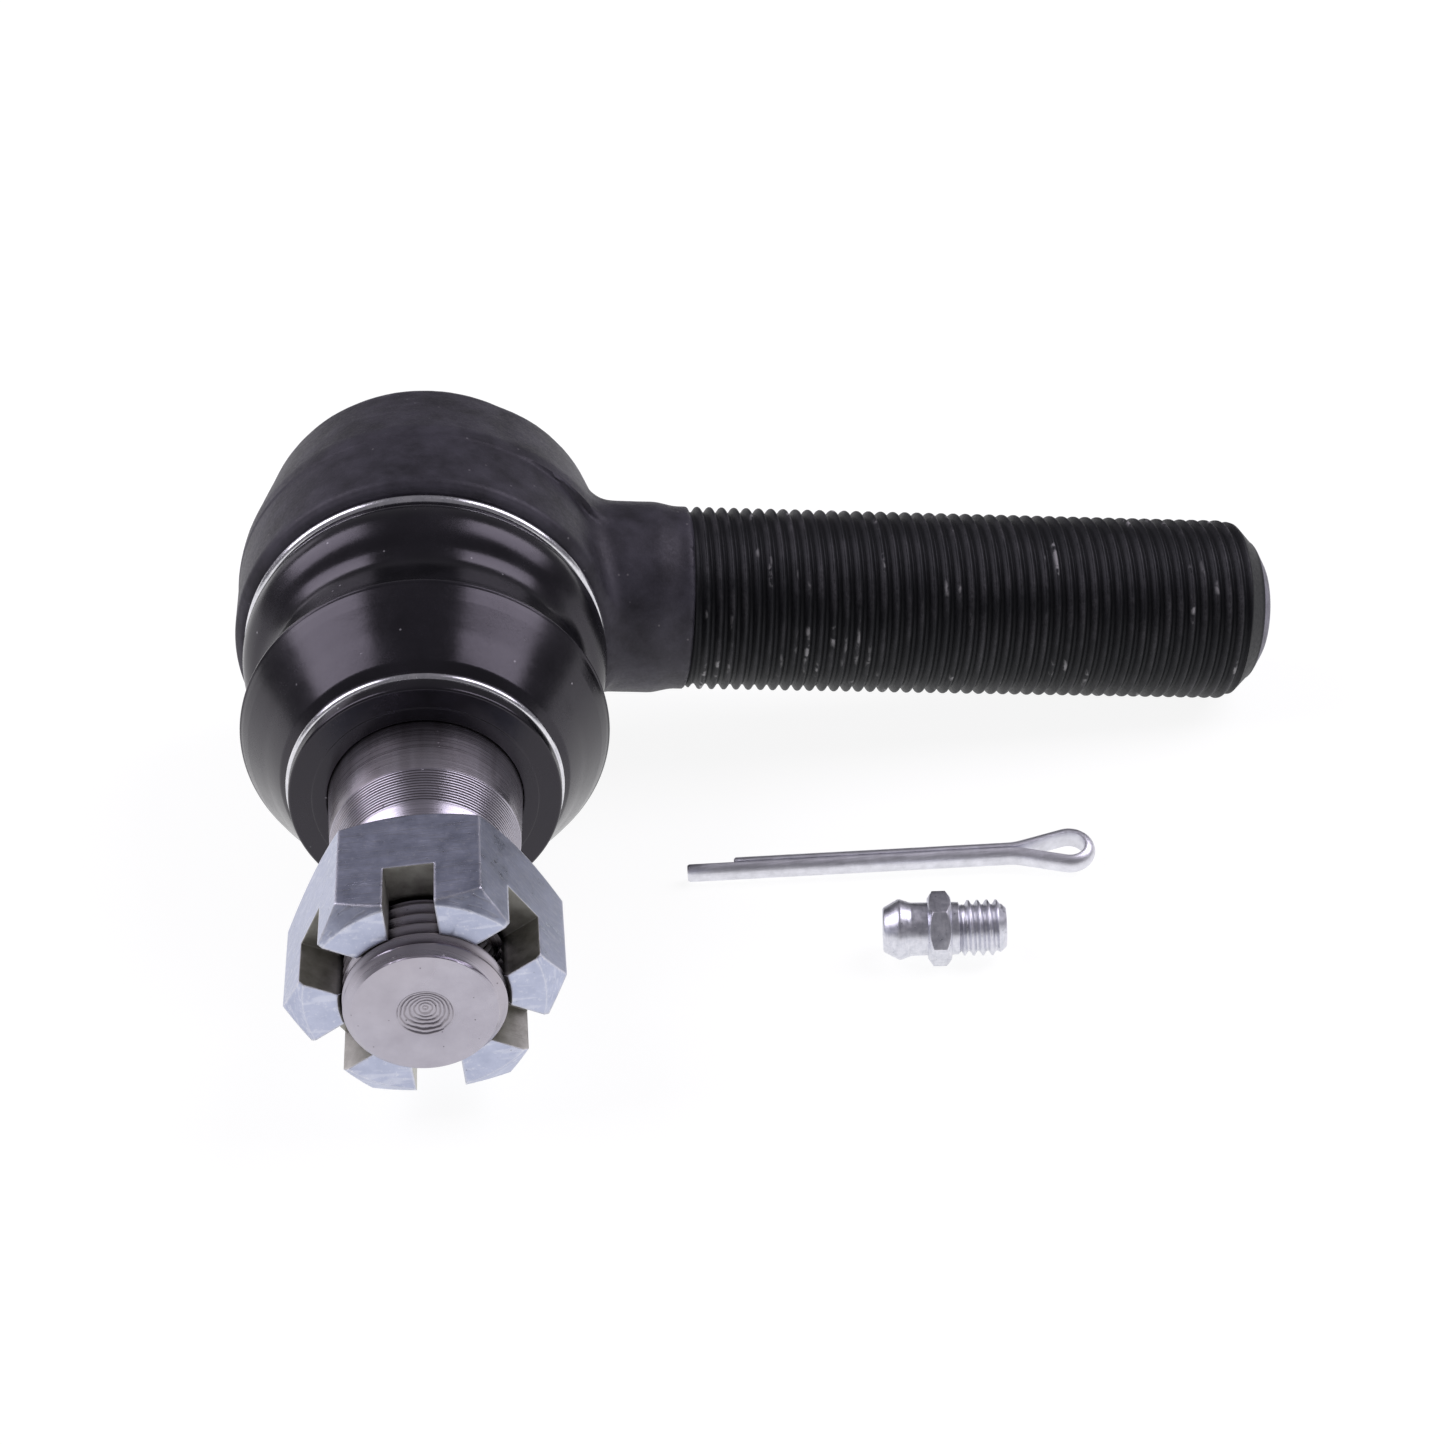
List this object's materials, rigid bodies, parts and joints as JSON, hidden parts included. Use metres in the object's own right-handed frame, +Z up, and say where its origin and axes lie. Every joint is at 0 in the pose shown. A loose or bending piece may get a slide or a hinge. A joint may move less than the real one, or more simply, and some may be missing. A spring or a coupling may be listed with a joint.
{
  "type": "tie rod end",
  "caption": "Steering tie rod end: forged eye with a threaded shank, tapered ball stud with slotted castle nut, rubber boot with wire rings, loose split pin and grease nipple.",
  "frame": {"origin": "centre of the stud's ball", "axes": "+Z up from the flat surface on which the part lies; the shank points along +X and dips 6.96 degrees; the ball stud points along -Y and dips 5.65 degrees"},
  "size_m": [0.125, 0.0959, 0.0451],
  "materials": {
    "forged_black": "matt black phosphate, rubbed grey on the thread crests",
    "boot_rubber": "semi-gloss black rubber",
    "bright_wire": "bright drawn spring wire",
    "turned_steel": "bright turned and rolled steel with tool marks",
    "zinc_plate": "satin bluish zinc plate with fine scratches",
    "zinc_wire": "dull grey zinc-plated wire",
    "bearing_steel": "greased hardened steel",
    "black_steel": "black oxide pressed steel"
  },
  "bodies": {
    "root": {"housing": "forged_black", "front_seat": "bearing_steel", "rear_seat": "bearing_steel", "disc_spring": "bearing_steel", "end_cap": "black_steel", "boot_collar": "boot_rubber", "upper_wire_ring": "bright_wire"},
    "boot_middle": {"boot_belly": "boot_rubber"},
    "boot_end": {"boot_lip": "boot_rubber", "lower_wire_ring": "bright_wire"},
    "stud": {"ball_stud": "turned_steel"},
    "nut": {"castle_nut": "zinc_plate"},
    "pin": {"split_pin": "zinc_wire"},
    "nipple": {"nipple_body": "zinc_plate", "nipple_spring": "bright_wire"},
    "check_ball": {"nipple_check_ball": "bearing_steel"}
  },
  "joints": [
    {"name": "stud_swing_across", "type": "hinge", "parent": "root", "child": "boot_middle", "pos_m": [0, 0, 0], "axis": [0.9926, 0.0119, -0.1206], "range_deg": [-15, 15], "deforming": ["boot_belly", "boot_collar"]},
    {"name": "stud_swing_along", "type": "hinge", "parent": "boot_middle", "child": "boot_end", "pos_m": [0, 0, 0], "axis": [0.1211, -0.0977, 0.9878], "range_deg": [-15, 15], "deforming": ["boot_lip"]},
    {"name": "stud_spin", "type": "hinge", "parent": "boot_end", "child": "stud", "pos_m": [0, 0, 0], "axis": [0, -0.9951, -0.0984], "continuous": true},
    {"name": "nut_turn", "type": "hinge", "parent": "stud", "child": "nut", "pos_m": [0, -0.05881, -0.00582], "axis": [0, -0.9951, -0.0984], "continuous": true},
    {"name": "pin_lift", "type": "slide", "parent": "root", "child": "pin", "axis": [0, 0, 1], "range_m": [0, 0.12]},
    {"name": "nipple_lift", "type": "slide", "parent": "root", "child": "nipple", "axis": [0, 0, 1], "range_m": [0, 0.12]},
    {"name": "check_ball_travel", "type": "slide", "parent": "nipple", "child": "check_ball", "axis": [0.994, -0.1097, 0], "range_m": [0, 0.0006], "stiffness_N_per_m": 150}
  ]
}
